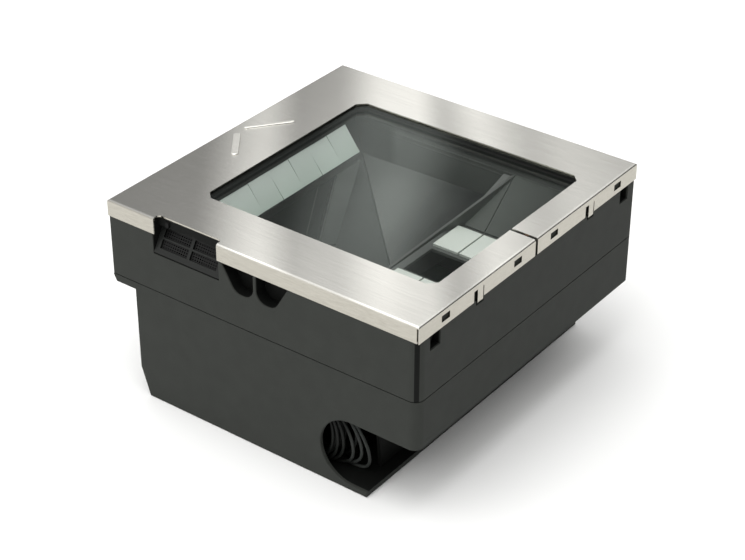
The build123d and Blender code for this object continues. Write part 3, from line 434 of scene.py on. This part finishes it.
# ---------------------------------------------------------------- materials of the CAD nodes
looks = {
    "steel": steel(),
    "window": glass(),
    "gasket": moulded("gasket_rubber", (0.012, 0.012, 0.012), rough=0.6),
    "housing": moulded("housing_plastic", (0.045, 0.048, 0.044), rough=0.55),
    "trim": moulded("trim_plastic", (0.018, 0.019, 0.018), rough=0.42),
    "inner_plastic": moulded("inner_plastic", (0.02, 0.022, 0.02), rough=0.45),
    "mirror": mirror("plain_mirror", (0.3, 0.33, 0.31), (0.5, 0.55, 0.52)),
    "alloy": metal("alloy", (0.6, 0.61, 0.62), 0.35),
    "brass": metal("brass", (0.7, 0.55, 0.28), 0.3),
    "bright_steel": metal("bright_steel", (0.68, 0.68, 0.68), 0.22),
    "board": moulded("solder_mask", (0.02, 0.11, 0.05), rough=0.35, grain=300.0),
    "lens": glass("lens_glass"),
    "ribbon": moulded("ribbon", (0.6, 0.6, 0.56), rough=0.4),
    "coil_tape": metal("copper_tape", (0.30, 0.17, 0.10), 0.45),
    "cable": cable_skin,
}
own = {
    # inside these boxes the housing walls lie in recesses and under overhangs, painted near black as shade
    "upper_housing": housing("upper_housing_plastic", (0, 0, 0.15), (0.1442, 0.1446, 0.06)),
    "lower_housing": housing("lower_housing_plastic", (-0.0096, 0, 0.06), (0.1101, 0.1427, 0.0562)),
    "speaker_grille": grille_plastic(),
    "volume_button": moulded("button_plastic", (0.006, 0.006, 0.006), rough=0.6, gloss=0.15),
    "optics_frame": frame_plastic(),
    # each mirror's low and high colours along its axis are its painted reflection
    "pattern_mirrors": mirror("pale_mirror", (0.47, 0.56, 0.50), (0.66, 0.74, 0.69), "Z", (0.136, 0.157),
                              0.45, 0.1),
    "shelf_mirrors": mirror("shelf_mirror", (0.52, 0.57, 0.52), (0.60, 0.65, 0.60), "X", (0.04, 0.09),
                            0.4, 0.1),
    "main_mirror": mirror("main_mirror", (0.085, 0.093, 0.087), (0.012, 0.014, 0.013), "X", (-0.035, 0.025),
                          0.35, 0.3, gloss=0.2),
    "side_mirror": mirror("side_mirror", (0.035, 0.04, 0.037), (0.10, 0.11, 0.103), "Z", (0.06, 0.12),
                          0.35, 0.3),
    "ridge_mirror": mirror("ridge_mirror", (0.055, 0.062, 0.057), (0.16, 0.176, 0.163), "Z", (0.06, 0.124),
                           0.35, 0.3),
    "rear_mirrors": mirror("rear_mirror", (0.062, 0.071, 0.063), (0.014, 0.018, 0.015), "X", (0.05, 0.12),
                           0.4, 0.1, gloss=0.2),
}
for part in frame["record"]["subparts"]:
    node = nodes[part["node"]]
    node.data.materials.clear()
    node.data.materials.append(own.get(part["node"], looks[part["material_slot"]]))


# ---------------------------------------------------------------- floor, world and lights
def make_stage():
    """Plain pale floor, pale surroundings and a soft overhead light."""
    mesh = bpy.data.meshes.new("floor")
    half = 4.0
    corners = [(-half, -half, 0), (half, -half, 0), (half, half, 0), (-half, half, 0)]
    mesh.from_pydata(corners, [], [(0, 1, 2, 3)])
    floor = bpy.data.objects.new("floor", mesh)
    COLLECTION.objects.link(floor)
    paint, _, _, shader = material("floor_paint", (0.92, 0.92, 0.92), Roughness=0.9)
    set_socket(shader, Specular_IOR_Level=0.0)
    mesh.materials.append(paint)
    floor.location.z = -0.0005
    make_world()
    make_light()
    bpy.context.scene.view_settings.view_transform = "Standard"


def make_world():
    """Pale surroundings, darker behind and to the right, with a soft box on the left and a bright ceiling."""
    world = bpy.data.worlds.new("studio")
    world.use_nodes = True
    n, links = world.node_tree.nodes, world.node_tree.links
    where = n.new("ShaderNodeTexCoord")
    split = n.new("ShaderNodeSeparateXYZ")
    links.new(where.outputs["Generated"], split.inputs["Vector"])
    facing = add_node(n, "VectorMath", operation="DOT_PRODUCT")
    facing.inputs[1].default_value = (-0.64, -0.77, 0.0)
    links.new(where.outputs["Generated"], facing.inputs[0])
    low = spread_of(n, links, facing.outputs["Value"], (-0.3, 0.9), (0.10, 1.05))
    across = spread_of(n, links, split.outputs["X"], (-0.64, -0.44), (0.0, 1.0))
    soft_box = ramp(n, links, across, [(0.42, 0.0), (0.55, 0.75), (0.64, 0.75), (0.76, 0.0)])
    soft_box.color_ramp.interpolation = "EASE"
    ceiling = ramp(n, links, across, [(0.0, 0.35), (0.3, 0.65), (0.6, 1.0), (1.0, 0.9)])
    high = spread_of(n, links, split.outputs["Z"], (0.56, 0.62), (0.0, 1.3))
    with_box = add_node(n, "Math", operation="ADD")
    links.new(low, with_box.inputs[0])
    links.new(soft_box.outputs["Color"], with_box.inputs[1])
    glow = add_node(n, "Math", operation="MULTIPLY_ADD")
    links.new(ceiling.outputs["Color"], glow.inputs[0])
    links.new(high, glow.inputs[1])
    links.new(with_box.outputs["Value"], glow.inputs[2])
    links.new(glow.outputs["Value"], n["Background"].inputs["Strength"])
    n["Background"].inputs["Color"].default_value = (1, 1, 0.985, 1)
    bpy.context.scene.world = world


def make_light():
    """A soft light overhead."""
    place = Vector((0.0, -0.45, 2.2))
    light = bpy.data.lights.new("overhead", "AREA")
    light.shape, light.energy = "RECTANGLE", 14
    light.size = light.size_y = 1.3
    lamp = bpy.data.objects.new("overhead", light)
    lamp.location = place
    lamp.rotation_euler = (Vector((0, 0, 0.15)) - place).to_track_quat("-Z", "Y").to_euler()
    COLLECTION.objects.link(lamp)


make_stage()
